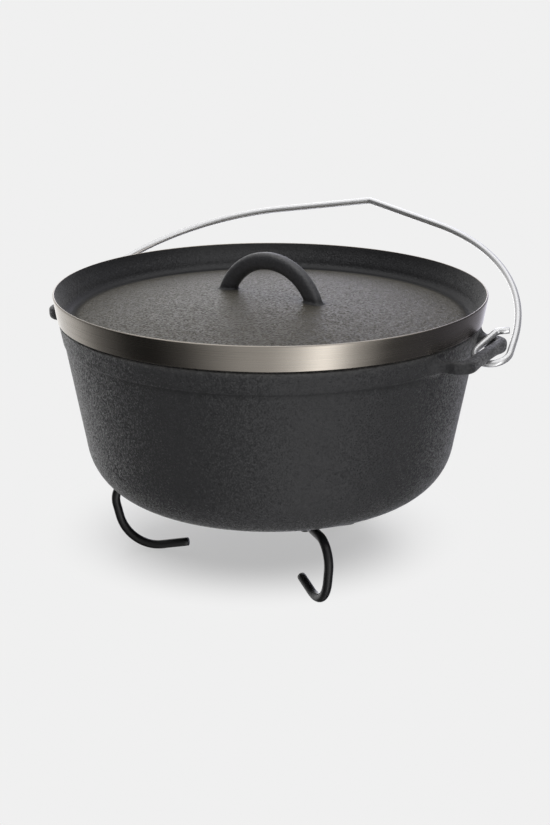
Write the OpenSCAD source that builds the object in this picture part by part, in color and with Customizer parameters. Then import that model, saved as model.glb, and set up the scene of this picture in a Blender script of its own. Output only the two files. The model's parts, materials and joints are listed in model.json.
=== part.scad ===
// Camp dutch oven: a cast pot on three folding wire legs, a flanged lid with a
// rim that holds coals, and a wire bail hooked into two cast ears.
// Origin on the ground under the pot's axis, +Z up, +X towards one ear,
// +Y to the side that the bail leans to.

/* [Pot] */
// Outer radius of the wall at the top of the lip
pot_r = 148.3; // [110:0.1:190]
// Height of the pot from its flat base to the top of the lip
pot_h = 127; // [95:1:170]
// Slope of the wall, measured from upright
wall_draft = 10.5; // [4:0.5:16]
// Thickness of the cast wall
wall_t = 4.6; // [3.5:0.1:7]
// Thickness of the base
base_t = 5; // [4:0.1:8]
// Outer radius of the curve from the wall into the base
corner_r = 43; // [20:1:50]
// Height of the thicker band round the mouth
rim_band_h = 14.6; // [12:0.1:20]
// How far that band stands out from the wall
rim_band_step = 0.8; // [0.4:0.1:2]
// Thickness of the lip that stands round the lid's plug
lip_t = 2.7; // [2:0.1:4]
// Depth of the lid's ledge below the top of the lip
ledge_d = 4; // [3:0.1:6]
// Width of the ledge that the lid sits on
ledge_w = 6.4; // [4:0.1:8]

/* [Ears] */
// How far the outer face of each ear stands out from the band at the mouth
ear_out = 17.6; // [13:0.1:28]
// Width of each ear across its two arms
ear_w = 80.8; // [74:0.1:90]
// Thickness of the ear's bar seen from above
ear_bar_w = 8.4; // [6.5:0.1:9]
// Height of the ear's bar
ear_bar_h = 7.4; // [6.4:0.1:7.6]
// Rounding of the bar's edges
ear_edge_r = 2.8; // [1:0.1:3.2]
// Outer radius of each ear's corners, seen from above
ear_corner_r = 13; // [10:0.5:20]
// Radius of the fillet where each ear meets the wall
ear_root_r = 11; // [4:0.5:16]
// Depth of the ear's upper face below the top of the lip
ear_drop = 4.9; // [4:0.1:8]

/* [Lid] */
// How far the top of the lid's rim stands out past the pot's lip
lid_over = 3.9; // [1:0.1:20]
// How much smaller the band is at its lower edge
lid_band_taper = 2.9; // [0:0.1:4]
// Height of the machined band
lid_band_h = 18; // [16:0.1:24]
// Width of the land on top of the rim
lid_land = 1.2; // [0.8:0.1:5]
// Distance from the rim's outer edge to the groove's lowest line
lid_rim_w = 12.4; // [12:0.1:23]
// Radius of the cove between the floor and the rim
lid_cove_r = 6; // [4:0.1:7]
// Height of the floor's crown above the groove
lid_dome = 14.2; // [4:0.1:15]
// Thickness of the lid's floor
lid_t = 4.2; // [3:0.1:6]
// Open line between the band and the lip below it
lid_gap = 1; // [0.5:0.1:2]
// Play between the lid's plug and the lip, all round
plug_play = 0.4; // [0.3:0.1:1]
// Play under the lid's seat
seat_play = 0.1; // [0.05:0.05:0.3]

/* [Lid handle] */
// Radius of the handle's arch along its middle
grip_r = 41; // [34:0.5:46]
// Thickness of the arch
grip_t = 12.2; // [9:0.1:14]
// Width of the arch, across it
grip_w = 9; // [7:0.1:12]
// Rounding of the arch's edges
grip_edge_r = 2.4; // [1:0.1:3]
// Height of the arch's top above the rim of the lid
grip_rise = 27.1; // [20:0.1:36]
// How far the lid is turned on the pot
lid_turn = -8.4; // [-90:0.1:90]

/* [Bail] */
// Diameter of the bail's wire
bail_d = 4.8; // [4:0.1:5.4]
// Slope of the two runs at the peak
bail_peak_slope = 19.7; // [12:0.1:22]
// Bend radius at the peak
bail_peak_r = 7; // [6:0.5:12]
// Bend radius of each shoulder
bail_shoulder_r = 163.4; // [150:0.1:180]
// Angle of each lower arm, from level
bail_arm_slope = 81.4; // [78:0.1:86]
// Straight length of each lower arm
bail_arm = 14.45; // [14:0.05:20]
// Distance from the ear's outer face to the middle of the arm, where its hook begins
hook_out = 7.75; // [7:0.05:10]
// Height of the line that the bail turns on, over the start of its hooks
hook_below = 3.1; // [2:0.05:4]
// Bend radius of the hook under the ear
hook_r = 12.3; // [11.6:0.1:13]
// Slope of the hook's inner side, from level
hook_slope = 73; // [70:0.5:80]
// Straight length of the hook's inner side
hook_rise = 19.2; // [18.8:0.1:22]
// Bend radius at the hook's tip
hook_tip_r = 5; // [4:0.5:6]
// Slope of the hook's tip, from level
hook_tip_slope = 20; // [5:1:30]
// Length of the hook's tip
hook_tip = 6.4; // [4:0.1:8]
// How far the resting bail leans back from upright
bail_lean = 68; // [50:0.1:68]
// Where the bail turns, behind the middle of the ear
bail_back = 17.2; // [0:0.1:18]

/* [Legs] */
// Diameter of the leg wire
leg_d = 6.4; // [5:0.1:8]
// Depth of the wire's arm below the base
leg_arm_drop = 4; // [3.5:0.1:6]
// How far the leg's middle line reaches past the edge of the flat base
leg_out = 27.6; // [11:0.1:41]
// Bend radius at the top of the leg
leg_knee_r = 15.3; // [10:0.1:20]
// How far the shank slopes inwards, from upright
leg_splay = 15; // [4:0.5:20]
// Straight length of the shank
leg_shank = 9.2; // [2:0.1:30]
// Bend radius of the foot
leg_foot_r = 28.2; // [15:0.1:34]
// Rise of the foot towards its end
leg_foot_rise = 10.3; // [4:0.1:16]
// Length of the foot, from the leg's outermost line to its end
leg_foot_l = 55.3; // [47:0.1:66]
// Play between the lug's inner end and the bend of the arm's tail
leg_end_play = 2; // [0.5:0.1:4]
// Bend radius at the tail
leg_tail_bend = 7; // [6.5:0.1:9]
// How far each open leg leans past upright, onto its stop
leg_over = 2; // [1:0.1:4]
// Gap left between the tail and the base when a leg is open
leg_stop_gap = 0.3; // [0.1:0.05:0.5]
// Direction of the first leg, from the ear's axis
leg_first = 76.7; // [0:0.1:119]

/* [Leg lugs and pads] */
// Radius of each cast lug round the leg's arm
lug_r = 6.6; // [5.5:0.1:9]
// Distance from the edge of the flat base in to the lug's outer end
lug_inset = 14; // [4:0.5:18]
// Length of each lug
lug_len = 21; // [14:0.5:24]
// Play between a leg's arm and its lug, all round
lug_play = 0.05; // [0.02:0.01:0.1]
// Height of the three cast pads that the pot stands on with folded legs
pad_h = 8.5; // [7.5:0.1:12]
// Distance from the edge of the flat base in to each pad's outer face
pad_inset = 11; // [5:0.5:19]
// Depth of each pad towards the axis
pad_l = 17; // [10:0.5:22]
// Width of each pad
pad_w = 22; // [14:0.5:24]
// Distance from the leg's arm to the near side of its pad
pad_off = 14.8; // [12:0.1:18]
// Rounding of each pad's corners
pad_edge_r = 4; // [1:0.5:6]

/* [Hidden] */
$fn = 96;
// Overrun of a cut past the face that it opens
eps = 0.01;
// Number of legs, spaced evenly round the base
legs = 3;

// How far the straights of a wire or an ear run into the bends, and how much finer they are
wire_lap = 0.3;
wire_step = 0.01;

// Chamfers on machined and cast edges
lip_edge = 0.7;
band_edge = 0.5;
plug_edge = 0.8;

// Slope of the wall as outward run per unit of height
draft_tan = tan(wall_draft);
draft_len = sqrt(1 + draft_tan * draft_tan);

// Radius of the flat part of the base, inside the round corner
base_r = corner_at(pot_r, 0, corner_r);

// Lugs and pads: their places from the edge of the flat base, and how far they run up into it
lug_from = base_r - lug_inset - lug_len;
pad_reach = base_r - pad_inset;
mount_root = base_t / 4;

// Legs: drop of the foot below the arm, then the base's height over the ground
leg_r = leg_d / 2;
leg_reach = base_r + leg_out;
leg_toe_r = leg_reach - leg_foot_l;
leg_tail_r = lug_from - leg_end_play - leg_tail_bend;
leg_foot_drop = leg_knee_r * (1 + sin(leg_splay)) + leg_shank * cos(leg_splay)
    + leg_foot_r * (1 - sin(leg_splay));
base_z = leg_arm_drop + leg_foot_drop * cos(leg_over) + leg_r;
leg_arm_end = leg_reach - leg_knee_r;
leg_arm_start = leg_tail_r + leg_tail_bend;
// Tail length that meets the base at the leg's stop
leg_tail = (leg_arm_drop - leg_stop_gap - leg_r * cos(leg_over)) / sin(leg_over);
// Start of the straight toe, from the pot's axis
leg_toe_start = leg_arm_end + leg_knee_r * cos(leg_splay) - leg_shank * sin(leg_splay)
    - leg_foot_r * cos(leg_splay) - leg_foot_r * sin(leg_foot_rise);
leg_toe = (leg_toe_start - leg_toe_r) / cos(leg_foot_rise);

// Pot levels, from the base
ledge_z = pot_h - ledge_d;
lip_in_r = pot_r + rim_band_step - lip_t;
mouth_r = lip_in_r - ledge_w;
rim_band_z = pot_h - rim_band_h;
ear_z = pot_h - ear_drop - ear_bar_h / 2;
ear_reach = pot_r + rim_band_step + ear_out;

// Lid levels, from the base; the rim's top is the lid's own zero
lid_z = pot_h + lid_gap + lid_band_h;
lid_r = pot_r + rim_band_step + lid_over;
lid_groove_r = lid_r - lid_rim_w;
lid_r_low = lid_r - lid_band_taper;
plug_r = lip_in_r - plug_play;
plug_in_r = mouth_r - plug_edge;
seat_z = ledge_z - lid_z + seat_play;
lid_groove_z = -lid_band_h;
lid_crown_z = lid_groove_z + lid_dome;
dome_r = (lid_groove_r * lid_groove_r + lid_dome * lid_dome) / (2 * lid_dome);
grip_centre_z = grip_rise - grip_r - grip_t / 2;
// The handle's feet end half way through the floor, under the middle of the arch
grip_foot_z = lid_crown_z - dome_r + sqrt(dome_r * dome_r - grip_r * grip_r) - lid_t / 2;

// Bail: the straight run from the peak that brings each hook to its ear
bail_r = bail_d / 2;
bail_run = (ear_reach + hook_out - bail_peak_r * sin(bail_peak_slope)
    - bail_shoulder_r * (sin(bail_arm_slope) - sin(bail_peak_slope))
    - bail_arm * cos(bail_arm_slope)) / cos(bail_peak_slope);
// The peak's height over the line that the bail turns on, from its own bends
bail_turn = bail_arm_slope - bail_peak_slope;
bail_hook_turn = 360 - bail_arm_slope - hook_slope;
bail_tip_turn = hook_slope - hook_tip_slope;
bail_drop = bail_peak_r * (1 - cos(bail_peak_slope)) + bail_run * sin(bail_peak_slope)
    + bail_shoulder_r * (cos(bail_peak_slope) - cos(bail_arm_slope))
    + bail_arm * sin(bail_arm_slope);
bail_peak = bail_drop - hook_below;

// Radius of a wall line that leans outwards, at a height over the base
function wall_at(r_top, z) = r_top + draft_tan * (z - pot_h);

// Middle of the round corner under such a wall, on a floor at height z0
function corner_at(r_top, z0, r) = wall_at(r_top, z0 + r) - r * draft_len;

// Half section of a tapering vessel with a round bottom corner
module vessel_section(r_top, z0, z1, r) {
    rc = corner_at(r_top, z0, r);
    polygon([
        [0, z0],
        [rc, z0],
        [rc + r * cos(wall_draft), z0 + r - r * sin(wall_draft)],
        [wall_at(r_top, z1), z1],
        [0, z1]
    ]);
    translate([rc, z0 + r])
        circle(r = r);
}

// Rectangle with round corners, about its middle
module soft_rect(w, h, r) {
    square([w - 2 * r, h], center = true);
    square([w, h - 2 * r], center = true);
    for (x = [-1, 1], y = [-1, 1])
        translate([x * (w / 2 - r), y * (h / 2 - r)])
            circle(r = r, $fn = 48);
}

// Bent wire from a bending schedule. Each row is [feed, roll, radius, angle]:
// the straight feed, the roll about the wire, then the bend to the wire's left.
// A feed is a hair thinner than the bends and runs a little into them.
module bent_wire(rows, r, i = 0) {
    if (i < len(rows)) {
        feed = rows[i][0];
        bend_r = rows[i][2];
        bend_a = rows[i][3];
        lap_in = i > 0 ? wire_lap : 0;
        lap_out = bend_a > 0 ? wire_lap : 0;
        if (feed > 0)
            translate([-lap_in, 0, 0])
                rotate([0, 90, 0])
                    cylinder(h = lap_in + feed + lap_out, r = r - wire_step);
        translate([feed, 0, 0])
            rotate([rows[i][1], 0, 0]) {
                if (bend_a > 0)
                    translate([0, bend_r, 0])
                        rotate([0, 0, -90])
                            rotate_extrude(angle = bend_a)
                                translate([bend_r, 0])
                                    circle(r = r);
                translate([0, bend_r, 0])
                    rotate([0, 0, bend_a])
                        translate([0, -bend_r, 0])
                            bent_wire(rows, r, i + 1);
            }
    }
}

// Section of an ear's bar, less a hair all round
module ear_section(less = 0) {
    soft_rect(ear_bar_w - 2 * less, ear_bar_h - 2 * less, ear_edge_r - less);
}

// Cast loop that the bail hooks into, on the +X side, at the middle of its bar
module ear() {
    bar_x = ear_reach - ear_bar_w / 2;
    arm_y = (ear_w - ear_bar_w) / 2;
    bend = ear_corner_r - ear_bar_w / 2;
    bar_l = 2 * (arm_y - bend);
    // The wall at the ear's lower face, where it is narrowest
    wall_r = wall_at(pot_r, ear_z - ear_bar_h / 2);
    arm_x = sqrt(wall_r * wall_r - ear_w * ear_w / 4) - wall_t;
    // Middle of the fillet that touches both the arm and the round wall
    fillet_y = ear_w / 2 + ear_root_r;
    fillet_x = sqrt(pow(wall_r + ear_root_r, 2) - fillet_y * fillet_y);
    translate([bar_x, 0, 0])
        rotate([90, 0, 0])
            linear_extrude(bar_l + 2 * wire_lap, center = true)
                ear_section(wire_step);
    for (side = [0, 1])
        mirror([0, side, 0]) {
            translate([bar_x - bend, arm_y - bend, 0])
                rotate_extrude(angle = 90)
                    translate([bend, 0])
                        ear_section();
            translate([arm_x, arm_y, 0])
                rotate([90, 0, 90])
                    linear_extrude(bar_x - bend - arm_x + wire_lap)
                        ear_section(wire_step);
            // Fillet from the arm's outer side into the wall
            linear_extrude(ear_bar_h - ear_edge_r, center = true)
                difference() {
                    polygon([
                        [arm_x, arm_y],
                        [fillet_x, arm_y],
                        [fillet_x, fillet_y],
                        [fillet_x, fillet_y] * wall_r / (wall_r + ear_root_r),
                        [fillet_x, fillet_y] * (wall_r - wall_t / 2) / (wall_r + ear_root_r)
                    ]);
                    translate([fillet_x, fillet_y])
                        circle(r = ear_root_r);
                }
        }
}

// Lug round one leg's arm and the pad beside it, hanging from the base
module leg_mount() {
    translate([lug_from, 0, -leg_arm_drop])
        rotate([0, 90, 0])
            cylinder(h = lug_len, r = lug_r);
    translate([lug_from, -lug_r, -leg_arm_drop])
        cube([lug_len, 2 * lug_r, leg_arm_drop + mount_root]);
    translate([pad_reach - pad_l / 2, pad_off + pad_w / 2, -pad_h])
        linear_extrude(pad_h + mount_root)
            soft_rect(pad_l, pad_w, pad_edge_r);
}

// Turns a child to each leg's direction
module each_leg() {
    for (i = [0 : legs - 1])
        rotate([0, 0, leg_first + i * 360 / legs])
            children();
}

module pot() {
    color("#3a3a3c")
        translate([0, 0, base_z])
            difference() {
                union() {
                    rotate_extrude($fn = 180)
                        vessel_section(pot_r, 0, pot_h - lip_edge, corner_r);
                    rotate_extrude($fn = 180)
                        polygon([
                            [0, rim_band_z - rim_band_step],
                            [wall_at(pot_r, rim_band_z - rim_band_step), rim_band_z - rim_band_step],
                            [wall_at(pot_r, rim_band_z) + rim_band_step, rim_band_z],
                            [pot_r + rim_band_step, pot_h - lip_edge],
                            [pot_r + rim_band_step - lip_edge, pot_h],
                            [0, pot_h]
                        ]);
                    for (a = [0, 180])
                        rotate([0, 0, a])
                            translate([0, 0, ear_z])
                                ear();
                    each_leg()
                        leg_mount();
                }
                // Cooking space
                rotate_extrude($fn = 180)
                    intersection() {
                        vessel_section(pot_r - wall_t * draft_len, base_t, pot_h, corner_r - wall_t);
                        square([mouth_r, pot_h]);
                    }
                // Seat for the lid, inside the lip
                translate([0, 0, ledge_z])
                    cylinder(h = ledge_d + eps, r = lip_in_r, $fn = 180);
                // Holes that the legs turn in
                each_leg()
                    translate([lug_from - eps, 0, -leg_arm_drop])
                        rotate([0, 90, 0])
                            cylinder(h = lug_len + 2 * eps, r = leg_r + lug_play);
            }
}

// Half section of the lid, with its zero at the top of the rim
module lid_section() {
    wall_foot_r = lid_groove_r + lid_cove_r;
    wall_foot_z = lid_groove_z + lid_cove_r;
    difference() {
        union() {
            // Rim and its machined band
            polygon([
                [0, seat_z + plug_edge],
                [plug_in_r, seat_z],
                [plug_r - plug_edge, seat_z],
                [plug_r, seat_z + plug_edge],
                [plug_r, lid_groove_z],
                [lid_r_low - band_edge, lid_groove_z],
                [lid_r_low, lid_groove_z + band_edge],
                [lid_r, -band_edge],
                [lid_r - band_edge, 0],
                [0, 0]
            ]);
        }
        // Space above the floor, inside the rim
        difference() {
            union() {
                polygon([
                    [0, lid_groove_z],
                    [lid_groove_r, lid_groove_z],
                    [lid_groove_r, wall_foot_z],
                    [wall_foot_r, wall_foot_z],
                    [lid_r - lid_land, 0],
                    [lid_r - lid_land, eps],
                    [0, eps]
                ]);
                translate([lid_groove_r, wall_foot_z])
                    circle(r = lid_cove_r);
            }
            translate([0, lid_crown_z - dome_r])
                circle(r = dome_r, $fn = 360);
        }
        // Hollow underside, one floor thickness below the crown
        intersection() {
            translate([0, lid_crown_z - dome_r])
                circle(r = dome_r - lid_t, $fn = 360);
            translate([0, seat_z - eps])
                square([plug_in_r, lid_crown_z - seat_z]);
        }
    }
}

module lid() {
    color("#6a6763")
        translate([0, 0, base_z + lid_z])
            rotate([0, 0, lid_turn]) {
                rotate_extrude($fn = 180)
                    intersection() {
                        lid_section();
                        translate([0, seat_z])
                            square([lid_r, -seat_z]);
                    }
                // Arched handle, cast with the lid
                intersection() {
                    translate([0, 0, grip_centre_z])
                        rotate([90, 0, 0])
                            rotate_extrude()
                                translate([grip_r, 0])
                                    soft_rect(grip_t, grip_w, grip_edge_r);
                    translate([-lid_r, -grip_w, grip_foot_z])
                        cube([2 * lid_r, 2 * grip_w, lid_r]);
                }
            }
}

module bail() {
    color("#c9cacc")
        translate([0, bail_back, base_z + ear_z])
            rotate([90 - bail_lean, 0, 0])
                for (side = [0, 1])
                    mirror([side, 0, 0])
                        translate([0, bail_peak, 0])
                            bent_wire([
                                [0, 180, bail_peak_r, bail_peak_slope],
                                [bail_run, 0, bail_shoulder_r, bail_turn],
                                [bail_arm, 0, hook_r, bail_hook_turn],
                                [hook_rise, 0, hook_tip_r, bail_tip_turn],
                                [hook_tip, 0, 0, 0]
                            ], bail_r);
}

// One leg: tail, arm in its lug, knee, shank and foot, from one bent wire
module leg(number) {
    color("#1b1b1c")
        translate([0, 0, base_z - leg_arm_drop])
            rotate([0, 0, leg_first + number * 360 / legs])
                rotate([leg_over, 0, 0])
                    translate([leg_tail_r, leg_tail, 0])
                        rotate([0, 0, -90])
                            bent_wire([
                                [leg_tail - leg_tail_bend, 0, leg_tail_bend, 90],
                                [leg_arm_end - leg_arm_start, -90, leg_knee_r, 90 + leg_splay],
                                [leg_shank, 0, leg_foot_r, 90 - leg_splay + leg_foot_rise],
                                [leg_toe, 0, 0, 0]
                            ], leg_r);
}

module leg_rear() {
    leg(0);
}

module leg_left() {
    leg(1);
}

module leg_front() {
    leg(2);
}

pot();
lid();
bail();
leg_front();
leg_left();
leg_rear();
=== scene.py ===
"""Camp dutch oven: the looks of two iron castings and four bent wires.

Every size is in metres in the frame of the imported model: origin on the ground
under the pot's axis, +Z up, +X towards one ear, +Y to the side that the bail
leans to.
"""

import json
import math

import bpy
import numpy as np
from bpy.props import FloatProperty, FloatVectorProperty, PointerProperty
from mathutils import Matrix, Vector


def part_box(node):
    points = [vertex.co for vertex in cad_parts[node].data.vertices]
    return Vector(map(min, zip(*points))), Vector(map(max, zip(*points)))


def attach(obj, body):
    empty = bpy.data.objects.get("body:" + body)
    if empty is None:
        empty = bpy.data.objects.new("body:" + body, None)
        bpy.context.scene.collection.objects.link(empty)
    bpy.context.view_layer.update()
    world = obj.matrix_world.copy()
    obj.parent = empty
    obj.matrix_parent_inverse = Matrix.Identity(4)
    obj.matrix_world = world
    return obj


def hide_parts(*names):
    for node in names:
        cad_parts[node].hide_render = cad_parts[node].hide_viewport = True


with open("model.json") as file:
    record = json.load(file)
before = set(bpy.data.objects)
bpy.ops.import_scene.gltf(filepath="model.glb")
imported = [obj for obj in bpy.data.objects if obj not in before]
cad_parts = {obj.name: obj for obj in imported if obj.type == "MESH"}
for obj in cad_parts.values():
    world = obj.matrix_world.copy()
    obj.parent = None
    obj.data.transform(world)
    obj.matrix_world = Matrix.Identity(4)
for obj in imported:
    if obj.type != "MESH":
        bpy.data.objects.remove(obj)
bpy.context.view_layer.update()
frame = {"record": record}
# A point on the line that each hinge of the frame turns on
HINGES = {joint["name"]: joint["pos_m"] for joint in frame["record"]["behaviour"]["joints"]
          if joint["type"] == "hinge"}

bl_info = {
    "name": "Camp dutch oven",
    "version": (1, 0, 0),
    "blender": (4, 5, 0),
    "location": "View3D > Sidebar > Dutch oven",
    "description": "Builds the castings and wires of a camp dutch oven around its packed frame",
    "category": "Object",
}


# Sizes and finishes

def length(name, description, default):
    """One size in metres, shown in the scene's length unit."""
    return FloatProperty(name=name, description=description, default=default,
                         unit="LENGTH", precision=4, min=0.0)


def angle(name, description, degrees):
    """One angle, given here in degrees and stored in radians."""
    return FloatProperty(name=name, description=description,
                         default=math.radians(degrees), subtype="ANGLE")


def swatch(name, description, default):
    """One linear colour."""
    return FloatVectorProperty(name=name, description=description, default=default,
                               subtype="COLOR", size=3, min=0.0, max=1.0)


class OvenPotSizes(bpy.types.PropertyGroup):
    """Sizes of the pot's casting."""
    radius: length("Mouth radius", "Outer radius of the wall at the lip", 0.1483)
    height: length("Height", "From the flat base to the lip", 0.127)
    draft: angle("Wall slope", "Slope of the wall from upright", 10.5)
    wall: length("Wall", "Thickness of the wall", 0.0046)
    base: length("Base", "Thickness of the base", 0.005)
    corner: length("Corner radius", "Outer curve from the wall into the base", 0.043)
    band: length("Mouth band", "Height of the thicker band at the mouth", 0.0146)
    step: length("Band step", "How far the band stands out", 0.0008)
    lip: length("Lip", "Thickness of the lip", 0.0027)
    ledge_drop: length("Ledge depth", "Depth of the lid's ledge below the lip", 0.004)
    ledge: length("Ledge width", "Width of the ledge that the lid sits on", 0.0064)
    ear_reach: length("Ear reach", "From the axis to an ear's outer face", 0.1667)
    ear_width: length("Ear width", "Width of an ear across its arms", 0.0808)
    ear_bar: length("Ear bar", "Thickness of the ear's bar seen from above", 0.0084)
    ear_bar_height: length("Ear bar height", "Height of the ear's bar", 0.0074)
    ear_corner: length("Ear corner", "Outer radius of the ear's corners", 0.013)
    ear_root: length("Ear root", "Fillet where an ear meets the wall", 0.011)
    ear_drop: length("Ear drop", "Depth of the ear's top below the lip", 0.0049)
    ear_deep: length("Ear deepening", "How much deeper the ear's corners are than its bar", 0.0016)
    arm_z: length("Leg arm height", "Height of a leg's arm over the ground",
                  HINGES["leg_rear_fold"][2])
    arm_drop: length("Leg arm drop", "Depth of a leg's arm below the base", 0.004)
    lug: length("Lug radius", "Radius of the lug round a leg's arm", 0.0066)
    lug_from: length("Lug start", "Inner end of a lug from the axis", 0.054)
    lug_length: length("Lug length", "Length of a lug", 0.021)
    bore: length("Bore radius", "Radius of the hole that a leg turns in", 0.00325)
    pad_height: length("Pad height", "Height of a pad under the base", 0.0085)
    pad_reach: length("Pad reach", "From the axis to a pad's outer face", 0.078)
    pad_depth: length("Pad depth", "Depth of a pad towards the axis", 0.017)
    pad_width: length("Pad width", "Width of a pad", 0.022)
    pad_off: length("Pad offset", "From a leg's arm to its pad", 0.0148)
    leg_first: angle("First leg", "Direction of the rear leg", 76.7)


class OvenLidSizes(bpy.types.PropertyGroup):
    """Sizes of the lid's casting."""
    radius: length("Rim radius", "Outer radius at the top of the rim", 0.153)
    taper: length("Band taper", "How much smaller the band is at its lower edge", 0.0029)
    band: length("Band height", "Height of the machined band", 0.018)
    land: length("Land", "Width of the land on top of the rim", 0.0012)
    groove: length("Groove radius", "Radius of the groove's lowest line", 0.1406)
    cove: length("Cove radius", "Radius between the floor and the rim", 0.006)
    dome: length("Dome", "Height of the floor's crown above the groove", 0.0142)
    floor: length("Floor", "Thickness of the lid's floor", 0.0042)
    plug: length("Plug radius", "Radius of the plug inside the pot's lip", 0.146)
    plug_inner: length("Plug inside", "Inner radius of the plug's foot", 0.1392)
    seat: length("Seat depth", "From the rim's top to the plug's foot", 0.0229)
    seat_z: length("Seat height", "Height of the plug's foot over the ground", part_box("lid")[0].z)
    grip_radius: length("Grip radius", "Radius of the handle's arch", 0.0402)
    grip_thick: length("Grip thickness", "Thickness of the arch", 0.0122)
    grip_width: length("Grip width", "Width of the arch", 0.009)
    grip_rise: length("Grip rise", "Top of the arch above the rim", 0.0258)
    grip_root: length("Grip root", "Fillet between the handle and the floor", 0.0018)
    turn: angle("Turn", "How far the lid is turned on the pot", -8.4)


class OvenWireSizes(bpy.types.PropertyGroup):
    """Sizes of the bail and the legs."""
    bail: length("Bail wire", "Diameter of the bail's wire", 0.0048)
    bail_run: length("Bail run", "Straight run from the peak", 0.0674)
    peak_slope: angle("Peak slope", "Slope of the runs at the peak", 19.7)
    peak_bend: length("Peak bend", "Bend radius at the peak", 0.007)
    shoulder: length("Shoulder", "Bend radius of a shoulder", 0.1634)
    arm_slope: angle("Arm slope", "Angle of a lower arm from level", 81.4)
    bail_arm: length("Bail arm", "Straight length of a lower arm", 0.01445)
    hook: length("Hook bend", "Bend radius of the hook", 0.0123)
    hook_slope: angle("Hook slope", "Slope of the hook's inner side", 73.0)
    hook_rise: length("Hook rise", "Straight length of the hook's inner side", 0.0192)
    tip_bend: length("Tip bend", "Bend radius at the hook's tip", 0.005)
    tip_slope: angle("Tip slope", "Slope of the hook's tip", 20.0)
    tip: length("Tip", "Length of the hook's tip", 0.0064)
    hook_below: length("Hook drop", "How far the bends start under the turning line", 0.0031)
    lean: angle("Lean", "How far the resting bail leans back", 68.0)
    back: length("Bail back", "Where the bail turns, behind the ear's middle",
                 HINGES["bail_swing"][1])
    bail_z: length("Bail height", "Height of the line that the bail turns on",
                   HINGES["bail_swing"][2])
    leg: length("Leg wire", "Diameter of a leg's wire", 0.0064)
    leg_reach: length("Leg reach", "Reach of a leg from the pot's axis", 0.1166)
    knee: length("Knee", "Bend radius at the top of a leg", 0.0153)
    splay: angle("Splay", "How far the shank slopes inwards", 15.0)
    shank: length("Shank", "Straight length of the shank", 0.0092)
    foot: length("Foot", "Bend radius of the foot", 0.0282)
    foot_rise: angle("Foot rise", "Rise of the foot towards its end", 10.3)
    toe: length("Toe", "From the pot's axis to the foot's end", 0.0613)
    tail: length("Tail", "Where the arm's tail lies, from the axis", 0.045)
    tail_bend: length("Tail bend", "Bend radius at the tail", 0.007)
    over: angle("Over", "How far an open leg leans past upright", 2.0)
    stop_gap: length("Stop gap", "Gap between the tail and the base", 0.0003)


class OvenFinishes(bpy.types.PropertyGroup):
    """Colours of the metals, the coat and the floor."""
    iron: swatch("Iron", "Seasoned sand-cast iron", (0.0222, 0.0222, 0.024))
    iron_worn: swatch("Worn iron", "Iron rubbed along its edges", (0.12, 0.118, 0.112))
    lid_iron: swatch("Lid iron", "Sand-cast iron of the lid's floor", (0.044, 0.0395, 0.030))
    machined: swatch("Machined iron", "Turned band of the lid", (0.46, 0.42, 0.37))
    steel: swatch("Bright steel", "Drawn wire of the bail", (0.86, 0.86, 0.87))
    coat: swatch("Black coat", "Coated wire of the legs", (0.010, 0.010, 0.011))
    backdrop: swatch("Backdrop", "Pale floor and backdrop", (0.871, 0.871, 0.871))


# Surfaces

def soften(points, radii, count=7):
    """A path of corners, each cut back to a round of its radius. The round's ends lie
    r / tan(half the corner's angle) from the corner, and an arc joins them."""
    p = np.asarray(points, float)
    r = np.asarray(radii, float)[:, None]
    a, b = p[:-2] - p[1:-1], p[2:] - p[1:-1]
    la, lb = np.linalg.norm(a, axis=1, keepdims=True), np.linalg.norm(b, axis=1, keepdims=True)
    a, b = a / la, b / lb
    half = np.arccos(np.clip((a * b).sum(1, keepdims=True), -1, 1)) / 2
    cut = np.minimum(r / np.tan(half), 0.49 * np.minimum(la, lb))
    r = cut * np.tan(half)
    middle = (a + b) / np.linalg.norm(a + b, axis=1, keepdims=True)
    centre = p[1:-1] + middle * r / np.sin(half)
    start, end = p[1:-1] + a * cut - centre, p[1:-1] + b * cut - centre
    t0 = np.arctan2(start[:, 1], start[:, 0])
    dt = np.arctan2(end[:, 1], end[:, 0]) - t0
    dt = (dt + np.pi) % (2 * np.pi) - np.pi
    t = t0[:, None] + dt[:, None] * np.linspace(0, 1, count)
    arcs = centre[:, None] + r[:, None] * np.stack([np.cos(t), np.sin(t)], -1)
    return np.vstack([p[:1], arcs.reshape(-1, 2), p[-1:]])


def arc(centre, radius, start, end, count):
    """Points of a circle about centre, from one angle to another."""
    t = np.linspace(start, end, count)
    return np.column_stack([centre[0] + radius * np.cos(t), centre[1] + radius * np.sin(t)])


def spread(path, step):
    """The same path with points added, so that no piece of it is longer than step."""
    path = np.asarray(path, float)
    gaps = np.linalg.norm(np.diff(path, axis=0), axis=1)
    path = path[np.r_[True, gaps > 1e-9]]
    gaps = gaps[gaps > 1e-9]
    along = np.r_[0, np.cumsum(gaps)]
    parts = np.maximum(1, np.ceil(gaps / step)).astype(int)
    first = np.repeat(np.cumsum(parts) - parts, parts)
    share = (np.arange(parts.sum()) - first) / np.repeat(parts, parts)
    s = np.r_[np.repeat(along[:-1], parts) + share * np.repeat(gaps, parts), along[-1]]
    return np.column_stack([np.interp(s, along, path[:, k]) for k in range(path.shape[1])])


def run_of(path):
    """Length along a path at each of its points."""
    return np.r_[0, np.cumsum(np.linalg.norm(np.diff(path, axis=0), axis=1))]


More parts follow.
